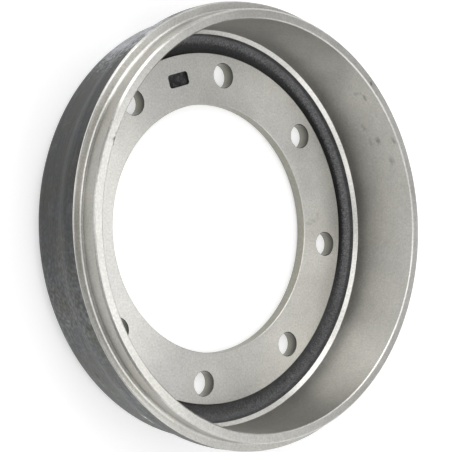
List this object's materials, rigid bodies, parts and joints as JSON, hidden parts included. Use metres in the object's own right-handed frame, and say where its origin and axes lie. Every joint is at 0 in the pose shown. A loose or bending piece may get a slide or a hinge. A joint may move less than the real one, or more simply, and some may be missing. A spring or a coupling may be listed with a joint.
{
  "type": "brake drum",
  "caption": "Shallow commercial-axle brake drum: flat flange with a large centre bore and a ring of stud holes, turned friction surface, stepped open end and dark as-cast outside.",
  "frame": {"origin": "middle of the centre bore, at the level of the mounting face that the drum stands on", "axes": "+Z along the drum's axis to its open end; one stud hole lies on +Y"},
  "size_m": [0.3858, 0.3858, 0.0895],
  "materials": {
    "drum_iron": "turned grey iron, bare, with dark as-cast skin outside and in the groove"
  },
  "bodies": {
    "root": {"brake_drum": "drum_iron"}
  },
  "joints": []
}
